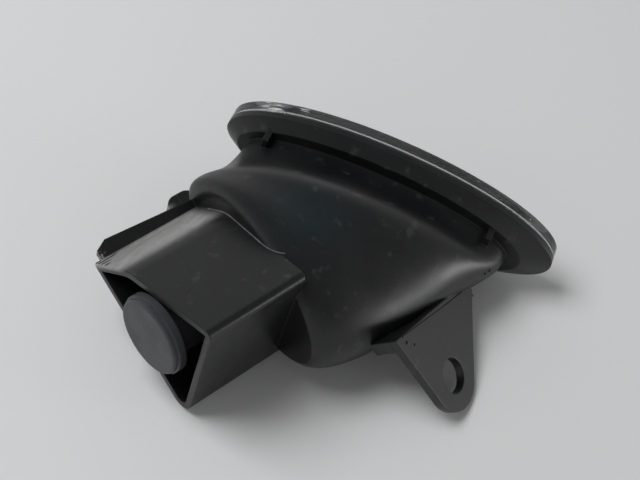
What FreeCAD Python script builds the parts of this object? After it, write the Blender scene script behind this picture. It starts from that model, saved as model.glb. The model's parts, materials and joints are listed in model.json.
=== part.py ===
"""Vehicle indicator lamp: a moulded housing with a leaning bulb chamber and plug shroud, lens and bulb.

Millimetres. X runs along the lens, Y points backwards from the lens and Z is up. The bulb axis starts
at the centre of the flange and leans from Y towards X. In the leaning frame "across" is square to that
axis and "along" is on it.
"""
import os
import re

import FreeCAD
import Part
import Sketcher

SIZES = {
    "flange_half_length": 35.0, "flange_half_height": 12.0, "flange_rim": 1.4, "flange_dish": 3.8,
    "dish_half_length": 30.4, "dish_half_height": 10.4, "dish_shift": 1.4,
    "waist_half_length": 27.8, "waist_half_height": 9.4, "waist_shift": 1.8,
    "groove_depth": 9.0, "groove_half_length": 27.5, "groove_half_height": 9.1, "groove_shift": 2.9,
    "belly_step": 6.0, "belly_half_length": 26.6, "belly_half_height": 12.7, "belly_shift": 5.8,
    "lobe_step": 5.2, "lobe_half_length": 25.6, "lobe_half_height": 13.1, "lobe_shift": 8.9,
    "lobe_turn": 6.2, "heel_step": 4.7, "heel_half_length": 24.4, "heel_half_height": 13.2,
    "heel_shift": 11.5, "heel_turn": 14.4, "rim_step": 5.5, "rim_half_length": 22.3,
    "rim_half_height": 13.0, "rim_shift": 14.6, "rim_turn": 26.2, "back_step": 2.7,
    "back_half_length": 18.0, "back_half_height": 10.5, "back_lead": 0.893, "back_aside": 2.675,
    "back_turn": 35.0, "back_drop": 2.5, "back_reach": 70.0, "wall": 1.6, "lean": 28.0, "chamber_back": 38.5,
    "shroud_root": 7.5, "shroud_lap": 1.0, "shroud_length": 19.5, "shroud_base": 11.6,
    "shroud_half_base": 15.0, "shroud_taper": 22.0, "shroud_near": 10.7, "shroud_top": 19.1,
    "shroud_wall": 1.3, "shroud_base_radius": 3.0, "shroud_edge": 1.2, "shroud_soft_radius": 9.0,
    "shroud_tip_radius": 0.4, "rib_height": 2.4, "rib_low_height": 0.8, "rib_corner": 2.4, "rib_thick": 1.3,
    "tab_tilt": 40.5, "tab_thick": 1.75, "tab_hole_radius": 3.4, "tab_end_radius": 6.8,
    "tab_out": 12.1, "tab_lead": 1.7, "tab_z": -4.1, "tab_root": 18.5, "tab_root_low": 3.6,
    "tab_root_high": 6.0, "tab_side": 5.7, "tab_side_length": 17.0, "web_inset": 0.6, "web_thick": 3.0,
    "web_depth": 7.0,
    "hook_thick": 2.0, "hook_root": 14.0, "hook_reach": 26.2, "hook_lead": 9.7, "hook_length": 7.0,
    "hook_drop": 8.0, "hook_radius": 2.6,
    "groove_rib": 1.2, "groove_rib_height": 6.4, "groove_rib_depth": 5.0,
    "groove_rib_left": 26.0, "groove_rib_right": 21.0,
    "lens_skirt": 2.6, "lens_dome": 2.4, "lens_wall": 1.6,
    "reflector_wall": 0.9, "reflector_gap": 0.4, "reflector_slim": 1.7, "reflector_back": 8.0,
    "reflector_end_radius": 7.0, "bulb_opening": 5.5, "port_radius": 7.2, "port_clearance": 0.2,
    "key_half_width": 2.2, "lug_half_width": 2.0, "lug_reach": 1.4, "lug_thick": 1.6,
    "head_radius": 7.9, "head_proud": 2.5, "head_thick": 2.6, "head_edge": 0.5,
    "head_step": 0.4, "head_step_back": 1.1,
    "neck_radius": 5.6, "collar_radius": 8.0, "collar_thick": 1.6, "seal_thick": 1.2,
    "tower_radius": 5.2, "tower_front": 12.5, "drum_front": 4.5,
    "bulb_radius": 5.0, "bulb_tip": 8.5, "bulb_neck": 6.0, "bulb_neck_radius": 3.6,
    "wedge_half_width": 4.4, "wedge_thick": 2.4, "wedge_front": 4.0, "wedge_foot": 6.0,
    "contact_half_width": 1.6, "contact_thick": 0.6, "contact_front": 1.0, "contact_tail": 9.0,
    "pocket_gap": 1.7, "pocket_length": 12.0, "pocket_half_height": 4.2,
}
MOUTH = "(chamber_back + shroud_length)"
START = "(chamber_back - shroud_root)"
TOWER_END = "(chamber_back - tower_front)"
HEAD_END = MOUTH + " + head_proud"
COLLAR = "(chamber_back + seal_thick)"
POCKET = "(" + COLLAR + " + collar_thick + pocket_gap)"
BACK_DEPTH = "(chamber_back * cos(lean * 1deg) - back_lead)"
BACK_SHIFT = "(chamber_back * sin(lean * 1deg) - back_aside)"
STRETCH = "(%s - groove_depth) / (belly_step + lobe_step + heel_step + rim_step + back_step)" % BACK_DEPTH
BELLY_DEPTH = "groove_depth + %s * belly_step" % STRETCH
LOBE_DEPTH = "groove_depth + %s * (belly_step + lobe_step)" % STRETCH
HEEL_DEPTH = "groove_depth + %s * (belly_step + lobe_step + heel_step)" % STRETCH
RIM_DEPTH = "groove_depth + %s * (belly_step + lobe_step + heel_step + rim_step)" % STRETCH
TAB_X = "heel_shift - heel_half_length - tab_out"
TAB_Y = BACK_DEPTH + " - tab_lead"
HOOK_START = "(chamber_back - hook_lead)"
CLOSE = 1e-4
ALIASES = re.compile(r"\b(?:%s)\b" % "|".join(SIZES))

doc = FreeCAD.newDocument("indicator_lamp")
sheet = doc.addObject("Spreadsheet::Sheet", "dims")
for row, (alias, size) in enumerate(SIZES.items(), start=1):
    sheet.set("A%d" % row, alias)
    sheet.set("B%d" % row, str(size))
    sheet.setAlias("B%d" % row, alias)
doc.recompute()


def named(expression):
    """Expression with the sheet's name before each alias."""
    return ALIASES.sub(r"dims.\g<0>", expression)


def value(expression):
    """Number that an expression of sheet aliases gives."""
    return float(sheet.evalExpression(named(expression)))


def bind(target, **expressions):
    """Tie properties of an object to the sheet. Two underscores in a name stand for a dot."""
    for name, expression in expressions.items():
        target.setExpression(name.replace("__", "."), named(expression))
    return target


Z_AXIS = FreeCAD.Vector(0, 0, 1)
LEAN = FreeCAD.Rotation(Z_AXIS, -value("lean"))
UPRIGHT = FreeCAD.Rotation(FreeCAD.Vector(1, 0, 0), 90)
ALONG = LEAN.multVec(FreeCAD.Vector(0, 1, 0))
ACROSS = LEAN.multVec(FreeCAD.Vector(1, 0, 0))
BACKWARDS = FreeCAD.Vector(0, 1, 0)
FORWARDS = FreeCAD.Vector(0, -1, 0)


def leaning(along, across="0", up="0"):
    """Point given in the leaning frame."""
    return LEAN.multVec(FreeCAD.Vector(value(across), value(along), value(up)))


def close_outline(sketch, points):
    """Draw a closed polygon in a sketch, with every corner tied to the sheet."""
    corners = [FreeCAD.Vector(value(x), value(y), 0) for x, y in points]
    count = len(corners)
    for index, corner in enumerate(corners):
        sketch.addGeometry(Part.LineSegment(corner, corners[(index + 1) % count]), False)
    for index in range(count):
        sketch.addConstraint(Sketcher.Constraint("Coincident", index, 2, (index + 1) % count, 1))
    for index, corner in enumerate(corners):
        for kind, place, expression in zip(("DistanceX", "DistanceY"), (corner.x, corner.y), points[index]):
            number = sketch.addConstraint(Sketcher.Constraint(kind, -1, 1, index, 1, place))
            sketch.setExpression("Constraints[%d]" % number, named(expression))
    return sketch


def outline(name, points, placement):
    """Polygon sketch that stands at a placement of its own."""
    sketch = doc.addObject("Sketcher::SketchObject", name)
    sketch.Placement = placement
    return close_outline(sketch, points)


def ellipse(name, half_length, half_height, depth, shift="0", turn="0"):
    """Upright ellipse at a depth behind the flange's front, turned towards the bulb axis."""
    curve = doc.addObject("Part::Ellipse", name)
    turned = FreeCAD.Rotation(Z_AXIS, -value(turn)).multiply(UPRIGHT)
    curve.Placement = FreeCAD.Placement(FreeCAD.Vector(0, 0, 0), turned)
    return bind(curve, MajorRadius=half_length, MinorRadius=half_height,
                Placement__Base__x=shift, Placement__Base__y=depth)


def ring(name, radius, along):
    """Circle around the bulb axis."""
    curve = doc.addObject("Part::Circle", name)
    curve.Placement = FreeCAD.Placement(leaning(along), LEAN.multiply(UPRIGHT))
    return bind(curve, Radius=radius)


def extrude(name, base, direction, forward, reverse="0"):
    """Solid swept straight from a closed outline."""
    solid = doc.addObject("Part::Extrusion", name)
    solid.Base = base
    solid.DirMode = "Custom"
    solid.Dir = direction
    solid.Solid = True
    return bind(solid, LengthFwd=forward, LengthRev=reverse)


def loft(name, *sections, ruled=False):
    """Solid that runs through closed sections."""
    solid = doc.addObject("Part::Loft", name)
    solid.Sections = list(sections)
    solid.Solid = True
    solid.Ruled = ruled
    return solid


def inset(name, sketch, distance):
    """Outline moved inwards by a wall."""
    moved = doc.addObject("Part::Offset2D", name)
    moved.Source = sketch
    moved.Join = "Intersection"
    return bind(moved, Value="-" + distance)


def fuse(name, *solids):
    """Several solids as one."""
    joined = doc.addObject("Part::MultiFuse", name)
    joined.Shapes = list(solids)
    joined.Refine = True
    return joined


def cut(name, base, tool):
    """One solid less another."""
    rest = doc.addObject("Part::Cut", name)
    rest.Base = base
    rest.Tool = tool
    return rest


def rod(name, radius, start, end):
    """Cylinder along the bulb axis between two places on it."""
    solid = doc.addObject("Part::Cylinder", name)
    turned = LEAN.multiply(FreeCAD.Rotation(FreeCAD.Vector(1, 0, 0), -90))
    solid.Placement = FreeCAD.Placement(leaning(start), turned)
    return bind(solid, Radius=radius, Height="%s - (%s)" % (end, start))


def block(name, across, along, up):
    """Box in the leaning frame from three pairs of limits."""
    solid = doc.addObject("Part::Box", name)
    solid.Placement = FreeCAD.Placement(leaning(along[0], across[0], up[0]), LEAN)
    lengths = ["%s - (%s)" % (high, low) for low, high in (across, along, up)]
    return bind(solid, Length=lengths[0], Width=lengths[1], Height=lengths[2])


def round_edges(name, base, radii):
    """Solid with a radius on some of its edges, given by edge number."""
    solid = doc.addObject("Part::Fillet", name)
    solid.Base = base
    solid.Edges = [(number, value(radius), value(radius)) for number, radius in radii.items()]
    return solid


def rounded(name, base, radius, chosen):
    """Solid with one radius on the edges that a test picks."""
    doc.recompute()
    edges = enumerate(base.Shape.Edges, start=1)
    return round_edges(name, base, {number: radius for number, edge in edges if chosen(edge)})


def finish(solid, label):
    """Name a finished piece after its file."""
    solid.Label = label
    return solid


def flange_form():
    """Oval flange whose back is a shallow dish."""
    front = ellipse("flange_front", "flange_half_length", "flange_half_height", "0")
    rim = ellipse("flange_edge", "flange_half_length", "flange_half_height", "flange_rim")
    dish = ellipse("flange_dish_end", "dish_half_length", "dish_half_height", "flange_dish", "dish_shift")
    plate = extrude("flange_plate", front, BACKWARDS, "flange_rim")
    return fuse("flange", plate, loft("flange_back", rim, dish))


def hull_form(name, less="", back="0"):
    """Rounded body through ovals that turn from the flange to the back face. The inset makes its hollow."""
    def oval(station, depth, turn="0", shift=""):
        return ellipse("%s_%s" % (name, station), station + "_half_length" + less,
                       station + "_half_height" + less, depth, shift or station + "_shift", turn)
    ends = oval("back", BACK_DEPTH + " - cos(back_turn * 1deg) * " + back, "back_turn",
                BACK_SHIFT + " - sin(back_turn * 1deg) * " + back)
    return loft(name, oval("waist", "flange_rim"), oval("groove", "groove_depth"),
                oval("belly", BELLY_DEPTH), oval("lobe", LOBE_DEPTH, "lobe_turn"),
                oval("heel", HEEL_DEPTH, "heel_turn"), oval("rim", RIM_DEPTH, "rim_turn"), ends)


def ahead_of_back():
    """Everything in front of a face just ahead of the body's back face."""
    back = "chamber_back - back_drop - shroud_lap"
    rise = "back_reach * tan((back_turn - lean) * 1deg)"
    points = (
        ("-back_reach", "-back_reach"), ("back_reach", "-back_reach"),
        ("back_reach", back + " - " + rise), ("-back_reach", back + " + " + rise),
    )
    plan = outline("shroud_front_plan", points, FreeCAD.Placement(FreeCAD.Vector(0, 0, 0), LEAN))
    return extrude("shroud_front", plan, Z_AXIS, "back_reach", "back_reach")


SLOPE = "tan(shroud_taper * 1deg)"
SHROUD_CORNERS = (
    ("-shroud_base", "-shroud_half_base"),
    ("shroud_top", "(shroud_base + shroud_top) * %s - shroud_half_base" % SLOPE),
    ("shroud_near", "shroud_half_base - (shroud_base + shroud_near) * %s" % SLOPE),
    ("-shroud_base", "shroud_half_base"),
)


def square_to_axis(along):
    """Placement of a section square to the bulb axis."""
    return FreeCAD.Placement(leaning(along), LEAN.multiply(UPRIGHT))


def shroud_prism(name, section, start, end, radii):
    """Length of the shroud or of its core, with a radius on the run nearest to each corner."""
    solid = extrude(name + "_prism", section, ALONG, "%s - %s" % (end, START), "%s - %s" % (START, start))
    doc.recompute()
    runs = {}
    for number, edge in enumerate(solid.Shape.Edges, start=1):
        first, last = edge.Vertexes[0].Point, edge.Vertexes[-1].Point
        if abs((last - first).dot(ALONG)) > CLOSE:
            runs[number] = first
    chosen = {}
    for (across, up), radius in zip(SHROUD_CORNERS, radii):
        corner = leaning(start, across, up)
        nearest = min(runs, key=lambda number: (runs[number] - corner).cross(ALONG).Length)
        if radius:
            chosen[nearest] = radius
    return round_edges(name, solid, chosen)


def shroud_form(section):
    """Plug shroud that starts just inside the body's back face."""
    radii = ("shroud_base_radius", "shroud_tip_radius", "shroud_soft_radius", "shroud_edge")
    tube = shroud_prism("shroud_tube", section, START, MOUTH, radii)
    return cut("shroud", tube, ahead_of_back())


def shroud_core(section):
    """Room inside the shroud."""
    inner = inset("shroud_inner", section, "shroud_wall")
    radii = ("shroud_base_radius - shroud_wall", "", "shroud_soft_radius - shroud_wall", "")
    return shroud_prism("shroud_room", inner, "chamber_back", MOUTH + " + wall", radii)


def rib_section(name, along, height):
    """Section of the rib at a place along the shroud."""
    side = "(shroud_base + %s) * " + SLOPE + " - shroud_half_base"
    tip = "(shroud_top + %s * cos(shroud_taper * 1deg))" % height
    root = "(shroud_top - 2 * rib_thick)"
    thick = " + rib_thick / cos(shroud_taper * 1deg)"
    points = (
        (root, side % root), (tip, side % tip), (tip, side % tip + thick), (root, side % root + thick),
    )
    return outline(name, points, square_to_axis(along))


def rib_form():
    """Rib that carries the shroud's far side on past its narrow end and falls towards the body."""
    low = rib_section("rib_low", START, "rib_low_height")
    high = rib_section("rib_high", MOUTH + " - rib_thick - rib_corner", "rib_height")
    end = rib_section("rib_end", MOUTH + " - rib_thick", "rib_height / 2")
    return loft("rib", low, high, end, ruled=True)


def tab_placement():
    """Place of the screw tab: x backwards, y up the slope to the body, z out of the back of the plate."""
    slope = FreeCAD.Rotation(FreeCAD.Vector(0, 1, 0), -value("tab_tilt"))
    towards_body = slope.multVec(FreeCAD.Vector(1, 0, 0))
    out_of_back = BACKWARDS.cross(towards_body)
    turned = FreeCAD.Rotation(BACKWARDS, towards_body, out_of_back, "ZXY")
    hole = FreeCAD.Vector(value(TAB_X), value(TAB_Y), value("tab_z"))
    return FreeCAD.Placement(hole, turned)


def tab_disc(name, radius, height, start="0"):
    """Cylinder square to the tab around its hole."""
    solid = doc.addObject("Part::Cylinder", name)
    place = tab_placement()
    moved = FreeCAD.Placement(FreeCAD.Vector(0, 0, value(start)), FreeCAD.Rotation())
    solid.Placement = place.multiply(moved)
    return bind(solid, Radius=radius, Height=height)


def tab_form():
    """Screw tab: a round end that widens to a long root, with a web below it into the body."""
    waist = ("-tab_end_radius / 2", "-sqrt(3) / 2 * tab_end_radius")
    points = (
        ("-tab_root", "tab_root_low"), waist, ("tab_end_radius", "0"),
        ("tab_side", "tab_side_length"), ("-tab_root", "tab_root_high"),
    )
    place = tab_placement()
    inwards = place.Rotation.multVec(Z_AXIS)
    plate = extrude("tab_plate", outline("tab_plan", points, place), inwards, "tab_thick")
    foot = (
        ("tab_side - web_inset", "tab_side_length - web_inset"),
        ("web_inset - tab_root", "tab_root_high - web_inset"),
        ("web_inset - tab_root", "tab_root_high - web_inset - web_thick"),
        ("tab_side - web_inset", "tab_side_length - web_inset - web_thick"),
    )
    web = extrude("tab_web", outline("web_plan", foot, place), inwards, "web_depth")
    return fuse("tab", plate, web, tab_disc("tab_end", "tab_end_radius", "tab_thick"))


def hook_form():
    """Small locating hook beside the body's lobe, with a round end."""
    tongue = block("hook_tongue", ("hook_root", "hook_reach"), (HOOK_START, HOOK_START + " + hook_length"),
                   ("-hook_drop - hook_thick", "-hook_drop"))

    def at_end(edge):
        first, last = edge.Vertexes[0].Point, edge.Vertexes[-1].Point
        offset = first.dot(ACROSS) - value("hook_reach")
        return abs(offset) < CLOSE and abs((last - first).dot(Z_AXIS)) > CLOSE
    return rounded("hook", tongue, "hook_radius", at_end)


def groove_rib_form(name, middle):
    """Thin rib across the waist behind the flange."""
    solid = doc.addObject("Part::Box", name)
    return bind(solid, Length="groove_rib", Width="groove_rib_depth",
                Height="2 * groove_rib_height", Placement__Base__x=middle + " - groove_rib / 2",
                Placement__Base__y="flange_rim", Placement__Base__z="-groove_rib_height")


def key_slots():
    """Slots that let the holder's lugs through the port."""
    reach = "(port_radius + lug_reach + port_clearance)"
    return block("key_slots", ("-" + reach, reach), ("chamber_back - 2 * wall", "chamber_back"),
                 ("-key_half_width", "key_half_width"))


def lug_room():
    """Room for the lugs to turn in behind the port."""
    radius = "port_radius + lug_reach + 2 * port_clearance"
    return rod("lug_room", radius, START, "chamber_back - wall")


def make_housing():
    """Moulded housing: everything outside fused, then every hollow cut."""
    section = outline("shroud_plan", SHROUD_CORNERS, square_to_axis(START))
    outside = fuse("housing_outside", flange_form(), hull_form("hull"), shroud_form(section), rib_form(),
                   tab_form(), hook_form(), groove_rib_form("groove_rib_a", "groove_rib_left"),
                   groove_rib_form("groove_rib_b", "-groove_rib_right"))
    chamber = hull_form("room", " - wall", "wall")
    front = ellipse("waist_front", "waist_half_length - wall", "waist_half_height - wall",
                    "-wall", "waist_shift")
    hollow = fuse("housing_hollow", extrude("waist_core", front, BACKWARDS, "flange_rim + wall"), chamber,
                  shroud_core(section), rod("port", "port_radius", START, "chamber_back + wall"),
                  lug_room(), key_slots(),
                  tab_disc("tab_hole", "tab_hole_radius", "3 * tab_thick", "-tab_thick"))
    return finish(cut("housing_body", outside, hollow), "housing")


def dome(name, less, start):
    """Shallow half ellipsoid in front of the flange."""
    solid = doc.addObject("Part::Ellipsoid", name)
    solid.Angle1 = 0
    solid.Placement = FreeCAD.Placement(FreeCAD.Vector(0, 0, 0), UPRIGHT)
    return bind(solid, Radius1="lens_dome", Radius2="flange_half_length" + less,
                Radius3="flange_half_height" + less, Placement__Base__y=start)


def lens_form(name, less, depth):
    """Skirt and dome of the lens, or of the space inside it."""
    edge = ellipse(name + "_edge", "flange_half_length" + less, "flange_half_height" + less, "0")
    skirt = extrude(name + "_skirt", edge, FORWARDS, depth)
    return fuse(name, skirt, dome(name + "_dome", less, "-(" + depth + ")"))


def make_lens():
    """Clear lens that stands on the flange."""
    shell = cut("lens_shell", lens_form("lens_outside", "", "lens_skirt"),
                lens_form("lens_inside", " - lens_wall", "lens_skirt - lens_wall"))
    return finish(shell, "lens")


def reflector_form(name, less, front, back):
    """Funnel from the flange's opening to the bulb opening."""
    mouth = ellipse(name + "_mouth", "waist_half_length - wall - reflector_gap" + less,
                    "waist_half_height - wall - reflector_gap - reflector_slim" + less, front, "waist_shift")
    return loft(name, mouth, ring(name + "_end", "reflector_end_radius" + less, back))


def make_reflector():
    """Bright insert with a lip on the flange's front."""
    lip_edge = ellipse("lip_edge", "flange_half_length - lens_wall - reflector_gap",
                       "flange_half_height - lens_wall - reflector_gap", "0")
    lip = extrude("lip", lip_edge, FORWARDS, "reflector_wall")
    back = "chamber_back - reflector_back"
    outside = fuse("reflector_outside", lip, reflector_form("funnel", "", "0", back))
    hollow = reflector_form("funnel_inside", " - reflector_wall", "-reflector_wall",
                            back + " - reflector_wall")
    opening = rod("bulb_opening_cut", "bulb_opening", back + " - 3 * reflector_wall",
                  back + " + reflector_wall")
    inside = fuse("reflector_inside", hollow, opening)
    return finish(cut("reflector_shell", outside, inside), "reflector")


def holder_turning():
    """Turned form of the bulb holder: tower, drum, collar, neck and head."""
    body = doc.addObject("PartDesign::Body", "holder_turning")
    body.Placement = FreeCAD.Placement(FreeCAD.Vector(0, 0, 0), LEAN)
    sketch = body.newObject("Sketcher::SketchObject", "holder_profile")
    plane = [feature for feature in body.Origin.OriginFeatures if feature.Role == "XY_Plane"][0]
    sketch.AttachmentSupport = [(plane, "")]
    sketch.MapMode = "FlatFace"
    drum = "port_radius - port_clearance"
    drum_end = "chamber_back - drum_front"
    collar_end = COLLAR + " + collar_thick"
    face = "head_radius - head_step"
    close_outline(sketch, (
        ("0", TOWER_END), ("tower_radius", TOWER_END), ("tower_radius", drum_end), (drum, drum_end),
        (drum, COLLAR), ("collar_radius", COLLAR), ("collar_radius", collar_end),
        ("neck_radius", collar_end), ("neck_radius", HEAD_END + " - head_thick"),
        ("head_radius", HEAD_END + " - head_thick"), ("head_radius", HEAD_END + " - head_step_back"),
        (face, HEAD_END + " - head_step_back"), (face, HEAD_END), ("0", HEAD_END),
    ))
    turning = body.newObject("PartDesign::Revolution", "holder_revolution")
    turning.Profile = sketch
    turning.ReferenceAxis = (sketch, ["V_Axis"])
    turning.Angle = 360
    return body


def holder_lugs():
    """Two bayonet lugs behind the port's wall."""
    reach = "(port_radius + lug_reach)"
    end = "chamber_back - wall - port_clearance"
    return block("lugs", ("-lug_half_width", "lug_half_width"), (end + " - lug_thick", end),
                 ("-" + reach, reach))


def contact_form(name, side):
    """Flat contact strip beside the bulb's wedge, with its tail in the plug pocket."""
    near, far = "wedge_thick / 2", "wedge_thick / 2 + contact_thick"
    up = (near, far) if side > 0 else ("-(%s)" % far, "-(%s)" % near)
    return block(name, ("-contact_half_width", "contact_half_width"),
                 (TOWER_END + " + contact_front", POCKET + " + contact_tail"), up)


def wedge_form(name):
    """Flat foot of the bulb."""
    return block(name, ("-wedge_half_width", "wedge_half_width"),
                 (TOWER_END + " - wedge_front", TOWER_END + " + wedge_foot"),
                 ("-wedge_thick / 2", "wedge_thick / 2"))


def make_holder():
    """Grey bulb holder with its lugs, bulb slot, contact slots and plug pocket."""
    pocket = block("pocket", ("-contact_half_width", "head_radius"), (POCKET, POCKET + " + pocket_length"),
                   ("-pocket_half_height", "pocket_half_height"))
    room = fuse("holder_room", wedge_form("wedge_slot"), contact_form("slot_near", 1),
                contact_form("slot_far", -1), pocket)
    rough = cut("holder_cut", fuse("holder_solid", holder_turning(), holder_lugs()), room)
    end = leaning(HEAD_END).dot(ALONG)

    def on_head_end(edge):
        return all(abs(vertex.Point.dot(ALONG) - end) < CLOSE for vertex in edge.Vertexes)
    return finish(rounded("holder", rough, "head_edge", on_head_end), "bulb_holder")


def make_seal():
    """Rubber ring between the holder's collar and the chamber."""
    outer = rod("seal_outer", "collar_radius", "chamber_back", COLLAR)
    inner = rod("seal_inner", "port_radius", "chamber_back - wall", COLLAR + " + wall")
    return finish(cut("seal", outer, inner), "holder_seal")


def make_bulb():
    """Wedge-foot bulb as one closed solid."""
    ball = doc.addObject("Part::Sphere", "bulb_ball")
    ball.Placement.Base = leaning("bulb_tip + bulb_radius")
    bind(ball, Radius="bulb_radius")
    shoulder = TOWER_END + " - bulb_neck"
    tube = rod("bulb_tube", "bulb_radius", "bulb_tip + bulb_radius", shoulder)
    neck = doc.addObject("Part::Cone", "bulb_neck")
    turned = LEAN.multiply(FreeCAD.Rotation(FreeCAD.Vector(1, 0, 0), -90))
    neck.Placement = FreeCAD.Placement(leaning(shoulder), turned)
    bind(neck, Radius1="bulb_radius", Radius2="bulb_neck_radius", Height="bulb_neck")
    return finish(fuse("bulb_glass", ball, tube, neck, wedge_form("bulb_wedge")), "bulb")


def export(pieces):
    """Check every object of the document and write one file for each piece."""
    doc.recompute()
    for item in doc.Objects:
        if "Invalid" in item.State or "Error" in item.State:
            raise RuntimeError("%s did not build: %s" % (item.Name, item.State))
    os.makedirs("parts", exist_ok=True)
    for piece in pieces:
        if piece.Shape.isNull() or not piece.Shape.isValid():
            raise RuntimeError("%s has no valid shape" % piece.Label)
        piece.Shape.exportStep("parts/%s.step" % piece.Label)


export([
    make_housing(), make_lens(), make_reflector(), make_holder(), make_seal(), make_bulb(),
    finish(contact_form("contact_a", 1), "contact_near"),
    finish(contact_form("contact_b", -1), "contact_far"),
])
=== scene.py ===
"""Vehicle indicator lamp: materials, small added pieces, floor, light and camera"""

import json
import math

import bmesh
import bpy
from mathutils import Matrix, Vector, noise
from mathutils.bvhtree import BVHTree

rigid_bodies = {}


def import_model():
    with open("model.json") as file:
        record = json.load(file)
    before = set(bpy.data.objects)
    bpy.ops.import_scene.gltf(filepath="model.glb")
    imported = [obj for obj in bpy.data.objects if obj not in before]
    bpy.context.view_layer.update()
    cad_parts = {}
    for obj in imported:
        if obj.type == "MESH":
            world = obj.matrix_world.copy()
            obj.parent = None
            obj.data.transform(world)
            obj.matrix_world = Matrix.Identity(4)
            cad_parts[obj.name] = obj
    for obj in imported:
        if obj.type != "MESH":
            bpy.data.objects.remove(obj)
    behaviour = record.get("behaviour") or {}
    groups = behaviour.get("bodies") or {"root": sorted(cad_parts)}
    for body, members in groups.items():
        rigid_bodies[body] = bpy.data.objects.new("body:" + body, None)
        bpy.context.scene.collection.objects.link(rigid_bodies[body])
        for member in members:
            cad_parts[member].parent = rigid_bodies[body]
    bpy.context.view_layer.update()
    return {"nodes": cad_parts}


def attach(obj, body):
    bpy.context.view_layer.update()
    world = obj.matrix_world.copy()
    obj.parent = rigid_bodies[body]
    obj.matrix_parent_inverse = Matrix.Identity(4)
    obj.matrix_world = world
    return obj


MM = 0.001

# Camera
CAMERA_PLACE = Vector((-2.45, 178.35, 216.13)) * MM
CAMERA_RIGHT = Vector((-0.9129, -0.3485, 0.2125))
CAMERA_BACK = Vector((-0.0402, 0.5949, 0.8028))
CAMERA_LENS = 79.08
SENSOR_WIDTH = 36.0
CLIP_START = 0.01

# Floor that the lamp lies on, through its three resting points
REST_SHROUD = Vector((9.2, 36.0, -13.6)) * MM
REST_TAB = Vector((-29.0, 31.6, -9.87)) * MM
REST_BODY = Vector((1.2, 17.9, -12.85)) * MM
FLOOR_HALF = 1.2
FLOOR_FADE_START = 0.25
FLOOR_FADE_END = 0.9

# Light
SURROUNDINGS = (1.0, 1.0, 1.0)
ZENITH_LEVEL = 0.20
HORIZON_LEVEL = 0.70
ZENITH_HEIGHT = 0.75
HORIZON_HEIGHT = 0.05
LAMP_CENTRE = Vector((8.0, 25.0, 0.0)) * MM

# Directions of the leaning shroud
ALONG = Vector((0.469, 0.883, 0.0))
ACROSS = Vector((0.883, -0.469, 0.0))
UP = Vector((0.0, 0.0, 1.0))

# Colour sockets of the mix node
MIX_FIRST = 6
MIX_SECOND = 7
MIX_RESULT = 2

# Colours of the black moulding
BLACK_DEEP = (0.0050, 0.0055, 0.0062)
BLACK_SOFT = (0.0095, 0.0100, 0.0108)
# Painted sheen: bluish tint put in the colour where the body's top face catches light
BLACK_PAINTED_SHEEN = (0.0065, 0.0125, 0.0145)
SMUDGE = (0.30, 0.30, 0.30)
DUST = (0.35, 0.35, 0.34)
SCUFF = (0.30, 0.31, 0.32)
# Painted sheen: pale tone on the shroud's top facet, standing in for the light it catches
TOP_FACET_PAINTED_SHEEN = (0.27, 0.27, 0.266)
WORN = (0.42, 0.41, 0.40)

# How much of each mark shows on the black moulding
# The first share is the painted bluish sheen on the body
PAINTED_SHEEN_SHARE = 0.8
SMUDGE_SHARE = 0.05
DUST_SHARE = 0.05
SCUFF_SHARE = 0.03
WORN_SHARE = 0.55
SCUFF_ROUGHNESS = 0.12

# Colours of the other materials
LENS_CLEAR = (0.60, 0.61, 0.62)
LENS_SCRATCHED = (0.90, 0.90, 0.90)
COATING_DULL = (0.78, 0.79, 0.80)
COATING_BRIGHT = (0.90, 0.90, 0.90)
SLATE_DARK = (0.030, 0.031, 0.036)
SLATE_PALE = (0.050, 0.051, 0.058)
SLATE_SCUFF = (0.4, 0.4, 0.4)
SLATE_SCUFF_SHARE = 0.10
RUBBER_DARK = (0.008, 0.008, 0.008)
RUBBER_BLOOM = (0.030, 0.030, 0.029)
AMBER_DEEP = (0.95, 0.36, 0.03)
AMBER_PALE = (1.0, 0.46, 0.06)
BRASS_DARK = (0.66, 0.47, 0.20)
BRASS_PALE = (0.83, 0.63, 0.30)
FLASH_DARK = (0.030, 0.030, 0.030)
# Paler flash tone: on the junction line a painted highlight, on the tip curls scraped plastic
FLASH_PALE_AND_HIGHLIGHT = (0.130, 0.130, 0.128)
FLOOR_DARK = (0.65, 0.655, 0.662)
FLOOR_PALE = (0.68, 0.685, 0.692)

# Depths of the fine relief and radii of the softened edges, in metres
FINE_GRAIN = 0.00003
COATING_RIPPLE = 0.00004
GLASS_RIPPLE = 0.0001
LENS_RIPPLE = 0.0002
HOUSING_EDGE = 0.0004
HOLDER_EDGE = 0.0003
EDGE_SAMPLES = 6

# Clear plastic and glass
LENS_IOR = 1.49
LENS_TRANSMISSION = 0.98
SCRATCH_CLOUDING = 0.85
GLASS_IOR = 1.5
GLASS_TRANSMISSION = 0.9

# Painted sheen, a cool bluish patch on the body, and worn tip of the shroud's mouth, with inner and
# outer radii
PAINTED_SHEEN_PATCH = (0.0120, 0.0230, 0.0125)
PAINTED_SHEEN_RADII = (0.003, 0.013)
WORN_TIP = (0.0436, 0.0418, -0.0014)
WORN_RADII = (0.0006, 0.0024)

# Painted sheen on the shroud's far top facet, a pale streaky patch in place of the light it catches, by
# the bands it fades over
FACET_NORMAL = (0.632, -0.336, 0.698)
FACET_DEPTH = 0.01186
SHEEN_RISE = (FACET_DEPTH - 0.0010, FACET_DEPTH - 0.0001)
SHEEN_FALL = (FACET_DEPTH + 0.0002, FACET_DEPTH + 0.0005)
SHEEN_BACK = (0.0335, 0.0375)
SHEEN_ASIDE = (0.0105, 0.0135)

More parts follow.
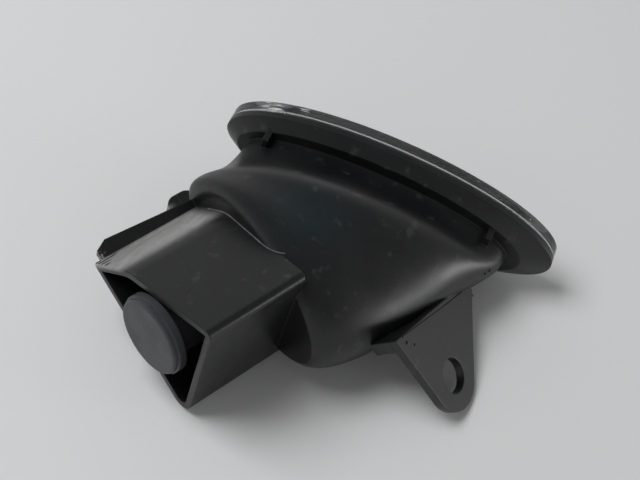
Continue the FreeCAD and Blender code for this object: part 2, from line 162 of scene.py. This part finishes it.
# White scraping on the lens's edge: spots with their reach, and streaks along the edge
SCRAPE_RUN = (0.91, 0.0, -0.41)
SCRAPE_RISE = (0.0, 1.0, 0.0)
SCRAPE_RUN_SCALE = 260.0
SCRAPE_RISE_SCALE = 4600.0
SCRAPE_INNER_SHARE = 0.4
SCRAPE_SHARE = 0.85
LENS_SCRAPES = (
    ((0.0273, -0.0020, 0.0075), 0.0034),
    ((0.0215, -0.0023, 0.0094), 0.0013),
)

# Flash where the shroud leaves the body, by angle around the bulb axis
FLASH_FIRST = 3.0
FLASH_LAST = 111.0
FLASH_STEPS = 48
FLASH_RADIUS = 0.00016
FLASH_UNEVEN = 0.5
FLASH_NOISE = 900.0
FLASH_LIFT = 0.00012
PROBE_ALONG = 0.044
PROBE_OUT = 0.030

# Edge line along the tab's root, in millimetres, with its radius in metres
ROOT_LINE = (
    (-12.9, 35.2, 6.2),
    (-15.1, 29.7, 4.35),
    (-18.45, 21.2, 1.5),
    (-20.6, 15.4, -0.3),
)
ROOT_LINE_RADIUS = 0.00018

# Ragged curls at the worn mouth tip: across, up, length and turn, in the leaning frame
CURLS = (
    (18.0, -1.5, 4.6, 0.10),
    (17.2, -0.8, 2.4, -0.15),
    (18.7, -2.2, 3.3, 0.12),
    (16.2, 0.3, 1.5, 0.08),
)
MOUTH_ALONG = 0.0580
CURL_STEPS = 6
CURL_START = 0.1
CURL_LIFT = 0.00008
CURL_RADIUS = 0.00017
CURL_TAPER = 0.85

# Moulding pips left by the tool: place and radius in millimetres
PIPS = (
    (-23.96, 9.48, 1.5, 0.34),
    (-23.26, 10.66, 1.5, 0.26),
    (-14.1, 35.2, 5.15, 0.28),
    (-15.6, 34.0, 3.9, 0.2),
)
PIP_FINENESS = 3
PIP_UNEVEN = 0.35
PIP_NOISE = 4200.0
PIP_VARIETY = 100.0

# Inner face of the lens, in millimetres
INNER_HALF_LENGTH = 33.4
INNER_HALF_HEIGHT = 10.4
INNER_SKIRT = 1.0
INNER_DOME = 2.4

# Flutes on that face: sizes in millimetres, counts, and the share of the oval that they fill
FLUTE_PITCH = 1.5
FLUTE_HEIGHT = 0.2
FLUTE_LIFT = 0.02
FLUTES_EACH_SIDE = 19
FLUTE_STEPS = 18
FLUTE_SIDES = 6
FLUTE_EDGE = 0.93


def empty_scene():
    """Clears the starting scene"""
    for thing in list(bpy.data.objects):
        bpy.data.objects.remove(thing)


class Shader:
    """A material's nodes, added and joined with short calls"""

    def __init__(self, name):
        self.material = bpy.data.materials.new(name)
        self.material.use_nodes = True
        self.nodes = self.material.node_tree.nodes
        self.links = self.material.node_tree.links
        self.nodes.clear()
        self.output = self.nodes.new("ShaderNodeOutputMaterial")
        self.surface = self.nodes.new("ShaderNodeBsdfPrincipled")
        self.join(self.surface.outputs["BSDF"], self.output.inputs["Surface"])
        self.place = self.nodes.new("ShaderNodeTexCoord").outputs["Object"]

    def join(self, source, target):
        """Links one node's output to another's input"""
        self.links.new(source, target)

    def feed(self, socket, given):
        """Puts a number, a colour or another node's output into a socket"""
        if isinstance(given, bpy.types.NodeSocket):
            self.join(given, socket)
        elif isinstance(given, tuple) and socket.type == "RGBA":
            socket.default_value = (*given, 1.0)
        else:
            socket.default_value = given

    def set(self, **inputs):
        """Feeds the surface's inputs by name, with underscores for spaces"""
        for name, given in inputs.items():
            self.feed(self.surface.inputs[name.replace("_", " ")], given)

    def stretched(self, scale, turn=(0.0, 0.0, 0.0)):
        """The place, scaled by axis and then turned"""
        mapping = self.nodes.new("ShaderNodeMapping")
        self.join(self.place, mapping.inputs["Vector"])
        mapping.inputs["Scale"].default_value = scale
        mapping.inputs["Rotation"].default_value = turn
        return mapping.outputs["Vector"]

    def noise(self, scale, detail=3.0, place=None):
        """Soft noise over the place or over a stretched one"""
        texture = self.nodes.new("ShaderNodeTexNoise")
        self.join(place or self.place, texture.inputs["Vector"])
        texture.inputs["Scale"].default_value = scale
        texture.inputs["Detail"].default_value = detail
        return texture.outputs["Fac"]

    def ramp(self, source, low, high, low_value=0.0, high_value=1.0):
        """A source's range low to high, spread from one value to another"""
        spread = self.nodes.new("ShaderNodeMapRange")
        spread.interpolation_type = "SMOOTHSTEP"
        self.join(source, spread.inputs["Value"])
        spread.inputs["From Min"].default_value = low
        spread.inputs["From Max"].default_value = high
        spread.inputs["To Min"].default_value = low_value
        spread.inputs["To Max"].default_value = high_value
        return spread.outputs["Result"]

    def maths(self, operation, first, second):
        """One sum on two numbers or outputs"""
        node = self.nodes.new("ShaderNodeMath")
        node.operation = operation
        self.feed(node.inputs[0], first)
        self.feed(node.inputs[1], second)
        return node.outputs["Value"]

    def along(self, direction):
        """How far the place lies along a direction, in metres"""
        dot = self.nodes.new("ShaderNodeVectorMath")
        dot.operation = "DOT_PRODUCT"
        self.join(self.place, dot.inputs[0])
        dot.inputs[1].default_value = direction
        return dot.outputs["Value"]

    def flat_place(self, first, second):
        """A flat texture place from two distances"""
        node = self.nodes.new("ShaderNodeCombineXYZ")
        self.feed(node.inputs["X"], first)
        self.feed(node.inputs["Y"], second)
        return node.outputs["Vector"]

    def near(self, point, inner, outer):
        """One inside a ball about a point, fading to nought at its outer radius"""
        gap = self.nodes.new("ShaderNodeVectorMath")
        gap.operation = "DISTANCE"
        self.join(self.place, gap.inputs[0])
        gap.inputs[1].default_value = point
        return self.ramp(gap.outputs["Value"], inner, outer, 1.0, 0.0)

    def blend(self, share, first, second):
        """Two colours mixed by a share"""
        mix = self.nodes.new("ShaderNodeMix")
        mix.data_type = "RGBA"
        self.feed(mix.inputs["Factor"], share)
        self.feed(mix.inputs[MIX_FIRST], first)
        self.feed(mix.inputs[MIX_SECOND], second)
        return mix.outputs[MIX_RESULT]

    def bump(self, height, depth, strength, normal=None):
        """A normal raised by a height, over a depth in metres"""
        node = self.nodes.new("ShaderNodeBump")
        self.join(height, node.inputs["Height"])
        node.inputs["Distance"].default_value = depth
        node.inputs["Strength"].default_value = strength
        if normal:
            self.join(normal, node.inputs["Normal"])
        return node.outputs["Normal"]

    def softened(self, radius):
        """A normal that rounds sharp edges over a small radius"""
        node = self.nodes.new("ShaderNodeBevel")
        node.samples = EDGE_SAMPLES
        node.inputs["Radius"].default_value = radius
        return node.outputs["Normal"]


def painted_facet_sheen(look):
    """Share of the painted sheen, a pale streaky patch, on the shroud's far top facet"""
    depth = look.along(FACET_NORMAL)
    above = look.ramp(depth, *SHEEN_RISE)
    below = look.ramp(depth, *SHEEN_FALL, 1.0, 0.0)
    back = look.ramp(look.along(ALONG), *SHEEN_BACK)
    aside = look.ramp(look.along(ACROSS), *SHEEN_ASIDE)
    streak_place = look.stretched((700.0, 260.0, 700.0))
    streaks = look.ramp(look.noise(1.0, place=streak_place), 0.25, 0.75, 0.75, 1.0)
    layer = look.maths("MULTIPLY", above, below)
    patch = look.maths("MULTIPLY", layer, look.maths("MULTIPLY", back, aside))
    return look.maths("MULTIPLY", patch, streaks)


def worn_tip(look):
    """Share of wear at the tip of the shroud's mouth"""
    tip = look.near(WORN_TIP, *WORN_RADII)
    worn = look.maths("MULTIPLY", tip, look.ramp(look.noise(1700.0), 0.42, 0.60))
    return look.maths("MULTIPLY", worn, WORN_SHARE)


def black_tones(look, cloud):
    """Clouded black with a painted bluish sheen patch, smudges and dust"""
    tone = look.blend(cloud, BLACK_DEEP, BLACK_SOFT)
    # Painted sheen: a bluish patch on the body's top face
    painted_sheen = look.maths("MULTIPLY", look.near(PAINTED_SHEEN_PATCH, *PAINTED_SHEEN_RADII), PAINTED_SHEEN_SHARE)
    tone = look.blend(painted_sheen, tone, BLACK_PAINTED_SHEEN)
    smudge = look.ramp(look.noise(380.0, detail=5.0), 0.60, 0.72, 0.0, SMUDGE_SHARE)
    tone = look.blend(smudge, tone, SMUDGE)
    dust = look.ramp(look.noise(2600.0, detail=1.0), 0.74, 0.80)
    return look.blend(look.maths("MULTIPLY", dust, DUST_SHARE), tone, DUST)


def black_moulding():
    """Black moulded plastic with fine grain, faint dust, scuffs, a worn mouth tip, and painted sheen on
    the body and on the shroud's top facet
    """
    look = Shader("black_moulding")
    cloud = look.noise(110.0, detail=4.0)
    grain = look.noise(5200.0, detail=2.0)
    scuff_place = look.stretched((260.0, 2600.0, 1900.0), (0.3, 0.2, 0.5))
    scuff = look.ramp(look.noise(1.0, detail=2.0, place=scuff_place), 0.68, 0.76)
    tone = black_tones(look, cloud)
    tone = look.blend(look.maths("MULTIPLY", scuff, SCUFF_SHARE), tone, SCUFF)
    # Painted sheen on the shroud's top facet
    tone = look.blend(painted_facet_sheen(look), tone, TOP_FACET_PAINTED_SHEEN)
    tone = look.blend(worn_tip(look), tone, WORN)
    rough = look.ramp(cloud, 0.25, 0.75, 0.30, 0.42)
    rough = look.maths("ADD", rough, look.maths("MULTIPLY", scuff, SCUFF_ROUGHNESS))
    look.set(Base_Color=tone, Roughness=rough, Specular_IOR_Level=0.45)
    look.set(Normal=look.bump(grain, FINE_GRAIN, 0.4, look.softened(HOUSING_EDGE)))
    return look.material


def scraped(look):
    """Share of white scraping on the lens's upper edge"""
    spots = [look.near(place, reach * SCRAPE_INNER_SHARE, reach) for place, reach in LENS_SCRAPES]
    total = look.maths("MAXIMUM", *spots)
    run = look.maths("MULTIPLY", look.along(SCRAPE_RUN), SCRAPE_RUN_SCALE)
    rise = look.maths("MULTIPLY", look.along(SCRAPE_RISE), SCRAPE_RISE_SCALE)
    streaks = look.noise(1.0, detail=2.0, place=look.flat_place(run, rise))
    return look.maths("MULTIPLY", total, look.ramp(streaks, 0.50, 0.66, 0.0, SCRAPE_SHARE))


def clear_lens():
    """Clear plastic with scratches and a slight cloudiness"""
    look = Shader("clear_lens")
    scratch_place = look.stretched((420.0, 5200.0, 2600.0), (0.1, 0.3, 0.25))
    fine = look.ramp(look.noise(1.0, detail=1.5, place=scratch_place), 0.76, 0.80)
    scratch = look.maths("MAXIMUM", fine, scraped(look))
    cloud = look.noise(160.0)
    rough = look.maths("ADD", look.ramp(cloud, 0.3, 0.7, 0.05, 0.14), scratch)
    clouding = look.maths("MULTIPLY", scratch, SCRATCH_CLOUDING)
    look.set(Base_Color=look.blend(scratch, LENS_CLEAR, LENS_SCRATCHED), Roughness=rough, IOR=LENS_IOR)
    look.set(Transmission_Weight=look.maths("SUBTRACT", LENS_TRANSMISSION, clouding))
    look.set(Normal=look.bump(look.noise(240.0, detail=2.0), LENS_RIPPLE, 0.35))
    return look.material


def bright_coating():
    """Bright metal coating with a faint orange-peel ripple"""
    look = Shader("bright_coating")
    ripple = look.noise(900.0, detail=2.0)
    look.set(Base_Color=look.blend(look.noise(300.0), COATING_DULL, COATING_BRIGHT))
    look.set(Metallic=1.0, Roughness=look.ramp(ripple, 0.3, 0.7, 0.08, 0.18))
    look.set(Normal=look.bump(ripple, COATING_RIPPLE, 0.4))
    return look.material


def grey_moulding():
    """Slate grey moulding with fine grain and small scuffs"""
    look = Shader("grey_moulding")
    cloud = look.noise(210.0, detail=4.0)
    grain = look.noise(6000.0, detail=2.0)
    scuff_place = look.stretched((900.0, 3200.0, 500.0))
    scuff = look.ramp(look.noise(1.0, detail=2.0, place=scuff_place), 0.66, 0.75)
    base = look.blend(cloud, SLATE_DARK, SLATE_PALE)
    look.set(Base_Color=look.blend(look.maths("MULTIPLY", scuff, SLATE_SCUFF_SHARE), base, SLATE_SCUFF))
    look.set(Roughness=look.ramp(cloud, 0.3, 0.7, 0.42, 0.56))
    look.set(Normal=look.bump(grain, FINE_GRAIN, 0.5, look.softened(HOLDER_EDGE)))
    return look.material


def seal_rubber():
    """Dull black rubber with a fine bloom"""
    look = Shader("seal_rubber")
    bloom = look.noise(700.0, detail=4.0)
    look.set(Base_Color=look.blend(bloom, RUBBER_DARK, RUBBER_BLOOM))
    look.set(Roughness=look.ramp(bloom, 0.3, 0.7, 0.62, 0.80))
    look.set(Normal=look.bump(look.noise(4200.0), FINE_GRAIN, 0.6))
    return look.material


def amber_glass():
    """Amber glass with a slight ripple"""
    look = Shader("amber_glass")
    ripple = look.noise(420.0, detail=2.0)
    look.set(Base_Color=look.blend(ripple, AMBER_DEEP, AMBER_PALE))
    look.set(Roughness=look.ramp(ripple, 0.3, 0.7, 0.03, 0.09))
    look.set(IOR=GLASS_IOR, Transmission_Weight=GLASS_TRANSMISSION)
    look.set(Normal=look.bump(ripple, GLASS_RIPPLE, 0.3))
    return look.material


def contact_brass():
    """Brass with faint tarnish and rolling marks"""
    look = Shader("contact_brass")
    tarnish = look.noise(800.0, detail=4.0)
    lines = look.noise(1.0, detail=2.0, place=look.stretched((400.0, 400.0, 9000.0)))
    look.set(Base_Color=look.blend(tarnish, BRASS_DARK, BRASS_PALE))
    look.set(Metallic=1.0, Roughness=look.ramp(tarnish, 0.3, 0.7, 0.22, 0.40))
    look.set(Normal=look.bump(lines, FINE_GRAIN, 0.4))
    return look.material


def pale_flash_and_painted_highlight():
    """Thin moulding flash, paler than the plastic and uneven along its length; on the junction line the
    paleness is a painted highlight, on the tip curls it is scraped plastic
    """
    look = Shader("pale_flash_and_painted_highlight")
    patches = look.noise(900.0)
    look.set(Base_Color=look.blend(patches, FLASH_DARK, FLASH_PALE_AND_HIGHLIGHT))
    look.set(Roughness=look.ramp(patches, 0.3, 0.7, 0.35, 0.55))
    look.set(Normal=look.bump(look.noise(3800.0), FINE_GRAIN, 0.5))
    return look.material


LOOKS = {
    "pale_flash_and_painted_highlight": pale_flash_and_painted_highlight,
    "black_moulding": black_moulding,
    "clear_lens": clear_lens,
    "bright_coating": bright_coating,
    "grey_moulding": grey_moulding,
    "seal_rubber": seal_rubber,
    "amber_glass": amber_glass,
    "contact_brass": contact_brass,
}

NODE_LOOKS = {
    "housing": "black_moulding",
    "lens": "clear_lens",
    "reflector": "bright_coating",
    "bulb_holder": "grey_moulding",
    "holder_seal": "seal_rubber",
    "bulb": "amber_glass",
    "contact_near": "contact_brass",
    "contact_far": "contact_brass",
}


def dress_nodes(nodes, materials):
    """Gives each CAD node its material"""
    for name, look in NODE_LOOKS.items():
        nodes[name].data.materials.clear()
        nodes[name].data.materials.append(materials[look])


def housing_tree(nodes):
    """The housing's surface, for setting small pieces on it"""
    mesh = nodes["housing"].data
    corners = [vertex.co.copy() for vertex in mesh.vertices]
    return BVHTree.FromPolygons(corners, [tuple(face.vertices) for face in mesh.polygons])


def add_piece(name, mesh, look):
    """A new mesh piece with its look, riding on the body"""
    mesh.name = name
    mesh.materials.clear()
    mesh.materials.append(look)
    mesh.shade_smooth()
    piece = bpy.data.objects.new(name, mesh)
    bpy.context.collection.objects.link(piece)
    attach(piece, "root")


def bead(name, points, radii, look):
    """A slim round bead through points, with a radius at each, as a mesh that rides on the body"""
    data = bpy.data.curves.new(name, "CURVE")
    data.dimensions = "3D"
    data.bevel_depth = 1.0
    data.bevel_resolution = 2
    data.use_fill_caps = True
    spline = data.splines.new("POLY")
    spline.points.add(len(points) - 1)
    for point, place, radius in zip(spline.points, points, radii):
        point.co = (*place, 1.0)
        point.radius = radius
    curve = bpy.data.objects.new(name + "_path", data)
    mesh = bpy.data.meshes.new_from_object(curve)
    bpy.data.objects.remove(curve)
    add_piece(name, mesh, look)


def finished_mesh(name, form):
    """A mesh from a worked form, which is then freed"""
    mesh = bpy.data.meshes.new(name)
    form.to_mesh(mesh)
    form.free()
    return mesh


def junction_point(tree, angle):
    """Where the shroud's outside meets the body, at an angle around the bulb axis"""
    outward = ACROSS * math.cos(angle) + UP * math.sin(angle)
    wall = tree.ray_cast(ALONG * PROBE_ALONG + outward * PROBE_OUT, -outward)[0]
    return tree.ray_cast(wall + outward * FLASH_LIFT, -ALONG)[0]


def make_flash(tree, look):
    """Thin flash line where the shroud leaves the body"""
    points = []
    for step in range(FLASH_STEPS + 1):
        share = step / FLASH_STEPS
        angle = math.radians(FLASH_FIRST + (FLASH_LAST - FLASH_FIRST) * share)
        points.append(junction_point(tree, angle))
    radii = [FLASH_RADIUS * (1.0 + FLASH_UNEVEN * noise.noise(point * FLASH_NOISE)) for point in points]
    bead("junction_flash", points, radii, look)


def make_root_line(tree, look):
    """Edge line along the tab's root"""
    points = [tree.find_nearest(Vector(place) * MM)[0] for place in ROOT_LINE]
    bead("tab_root_line", points, [ROOT_LINE_RADIUS] * len(points), look)


def make_curls(tree, look):
    """Ragged curls of scraped plastic at the worn mouth tip"""
    for number, (across, up, length, turn) in enumerate(CURLS):
        points = []
        radii = []
        for step in range(CURL_STEPS + 1):
            share = step / CURL_STEPS
            back = MOUTH_ALONG - (CURL_START + length * share) * MM
            aside = (across + turn * length * share * share) * MM
            spot = ALONG * back + ACROSS * aside + UP * up * MM
            place, normal = tree.find_nearest(spot)[:2]
            points.append(place + normal * CURL_LIFT * math.sin(math.pi * share))
            radii.append(CURL_RADIUS * (1.0 - CURL_TAPER * share))
        bead("tip_curl_%d" % number, points, radii, look)


def make_pips(tree, look):
    """Small rough pips of plastic beside the tab and the groove"""
    form = bmesh.new()
    for x, y, z, radius in PIPS:
        place = tree.find_nearest(Vector((x, y, z)) * MM)[0]
        made = bmesh.ops.create_icosphere(form, subdivisions=PIP_FINENESS, radius=radius * MM)
        for vertex in made["verts"]:
            swell = 1.0 + PIP_UNEVEN * noise.noise(vertex.co * PIP_NOISE + place * PIP_VARIETY)
            vertex.co = place + vertex.co * swell
    add_piece("moulding_pips", finished_mesh("moulding_pips", form), look)


def inner_face(x, z):
    """Place of the lens's inner face along Y, in millimetres"""
    inside = 1.0 - (x / INNER_HALF_LENGTH) ** 2 - (z / INNER_HALF_HEIGHT) ** 2
    return -INNER_SKIRT - INNER_DOME * math.sqrt(max(inside, 0.0))


def flute_ring(form, middle, z):
    """One low rounded section of a flute, standing on the lens's inner face"""
    ring = []
    for side in range(FLUTE_SIDES + 1):
        share = side / FLUTE_SIDES
        x = middle + (share - 0.5) * FLUTE_PITCH
        y = inner_face(x, z) + FLUTE_LIFT + math.sin(math.pi * share) * FLUTE_HEIGHT
        ring.append(form.verts.new(Vector((x, y, z)) * MM))
    return ring


def add_flute(form, middle):
    """One closed upright flute at a place along the lens"""
    room = 1.0 - (middle / (INNER_HALF_LENGTH * FLUTE_EDGE)) ** 2
    reach = INNER_HALF_HEIGHT * FLUTE_EDGE * math.sqrt(room)
    heights = [reach * (2.0 * step / FLUTE_STEPS - 1.0) for step in range(FLUTE_STEPS + 1)]
    rings = [flute_ring(form, middle, z) for z in heights]
    for low, high in zip(rings, rings[1:]):
        for side in range(FLUTE_SIDES + 1):
            after = (side + 1) % (FLUTE_SIDES + 1)
            form.faces.new((low[side], low[after], high[after], high[side]))
    form.faces.new(rings[0])
    form.faces.new(rings[-1])


def make_flutes(look):
    """Upright rounded flutes that spread the light, inside the lens"""
    form = bmesh.new()
    for number in range(-FLUTES_EACH_SIDE, FLUTES_EACH_SIDE + 1):
        add_flute(form, number * FLUTE_PITCH)
    bmesh.ops.recalc_face_normals(form, faces=form.faces)
    add_piece("lens_flutes", finished_mesh("lens_flutes", form), look)


def floor_look():
    """Pale seamless floor, clear from below and fading out far off"""
    look = Shader("pale_floor")
    tone = look.noise(6.0, detail=2.0)
    look.set(Base_Color=look.blend(tone, FLOOR_DARK, FLOOR_PALE), Roughness=0.9, Specular_IOR_Level=0.1)
    clear = look.nodes.new("ShaderNodeBsdfTransparent")
    far = look.nodes.new("ShaderNodeVectorMath")
    far.operation = "LENGTH"
    look.join(look.place, far.inputs[0])
    fade = look.ramp(far.outputs["Value"], FLOOR_FADE_START, FLOOR_FADE_END)
    behind = look.nodes.new("ShaderNodeNewGeometry").outputs["Backfacing"]
    mix = look.nodes.new("ShaderNodeMixShader")
    look.join(look.maths("MAXIMUM", fade, behind), mix.inputs["Fac"])
    look.join(look.surface.outputs["BSDF"], mix.inputs[1])
    look.join(clear.outputs["BSDF"], mix.inputs[2])
    look.join(mix.outputs["Shader"], look.output.inputs["Surface"])
    return look.material


def make_floor():
    """A wide flat floor through the three resting points"""
    normal = (REST_TAB - REST_SHROUD).cross(REST_BODY - REST_SHROUD).normalized()
    if normal.z < 0:
        normal = -normal
    corners = [(-FLOOR_HALF, -FLOOR_HALF, 0), (FLOOR_HALF, -FLOOR_HALF, 0)]
    corners += [(FLOOR_HALF, FLOOR_HALF, 0), (-FLOOR_HALF, FLOOR_HALF, 0)]
    mesh = bpy.data.meshes.new("floor")
    mesh.from_pydata(corners, [], [(0, 1, 2, 3)])
    mesh.materials.append(floor_look())
    floor = bpy.data.objects.new("floor", mesh)
    bpy.context.collection.objects.link(floor)
    centre = LAMP_CENTRE - normal * (LAMP_CENTRE - REST_SHROUD).dot(normal)
    floor.matrix_world = Matrix.Translation(centre) @ normal.to_track_quat("Z", "Y").to_matrix().to_4x4()


def softbox(name, direction, distance, size, power, reflected):
    """A square soft light that shines at the lamp, and shows in its reflections or not"""
    light = bpy.data.lights.new(name, "AREA")
    light.size = size
    light.energy = power
    lamp = bpy.data.objects.new(name, light)
    bpy.context.collection.objects.link(lamp)
    lamp.visible_glossy = reflected
    towards = Vector(direction).normalized()
    lamp.location = LAMP_CENTRE + towards * distance
    lamp.rotation_euler = towards.to_track_quat("Z", "Y").to_euler()


def make_surroundings():
    """Pale surroundings, brighter low down than overhead"""
    world = bpy.data.worlds.new("surroundings")
    bpy.context.scene.world = world
    world.use_nodes = True
    nodes = world.node_tree.nodes
    links = world.node_tree.links
    nodes.clear()
    output = nodes.new("ShaderNodeOutputWorld")
    around = nodes.new("ShaderNodeBackground")
    around.inputs["Color"].default_value = (*SURROUNDINGS, 1.0)
    height = nodes.new("ShaderNodeSeparateXYZ")
    links.new(nodes.new("ShaderNodeTexCoord").outputs["Generated"], height.inputs["Vector"])
    level = nodes.new("ShaderNodeMapRange")
    links.new(height.outputs["Z"], level.inputs["Value"])
    level.inputs["From Min"].default_value = HORIZON_HEIGHT
    level.inputs["From Max"].default_value = ZENITH_HEIGHT
    level.inputs["To Min"].default_value = HORIZON_LEVEL
    level.inputs["To Max"].default_value = ZENITH_LEVEL
    links.new(level.outputs["Result"], around.inputs["Strength"])
    links.new(around.outputs["Background"], output.inputs["Surface"])


def make_lights():
    """Two soft lights: a wide one overhead and a small one from the right"""
    softbox("overhead", (0.58, 0.08, 0.81), distance=0.80, size=0.42, power=4.7, reflected=False)
    softbox("right", (-0.98, -0.16, 0.11), distance=0.55, size=0.20, power=1.0, reflected=True)


def make_camera():
    """The photo's camera"""
    data = bpy.data.cameras.new("camera")
    data.lens = CAMERA_LENS
    data.sensor_width = SENSOR_WIDTH
    data.sensor_fit = "HORIZONTAL"
    data.clip_start = CLIP_START
    camera = bpy.data.objects.new("camera", data)
    bpy.context.collection.objects.link(camera)
    back = CAMERA_BACK.normalized()
    up = back.cross(CAMERA_RIGHT).normalized()
    right = up.cross(back)
    turn = Matrix((right, up, back)).transposed().to_4x4()
    camera.matrix_world = Matrix.Translation(CAMERA_PLACE) @ turn
    bpy.context.scene.camera = camera


def main():
    """Loads the CAD frame, dresses it and sets the scene around it"""
    empty_scene()
    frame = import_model()
    materials = {name: make() for name, make in LOOKS.items()}
    dress_nodes(frame["nodes"], materials)
    tree = housing_tree(frame["nodes"])
    # The junction flash's pale tone is a painted highlight along that edge
    make_flash(tree, materials["pale_flash_and_painted_highlight"])
    make_root_line(tree, materials["black_moulding"])
    make_curls(tree, materials["pale_flash_and_painted_highlight"])
    make_pips(tree, materials["black_moulding"])
    make_flutes(materials["clear_lens"])
    make_floor()
    make_surroundings()
    make_lights()
    make_camera()
    bpy.context.scene.view_settings.view_transform = "Standard"


main()
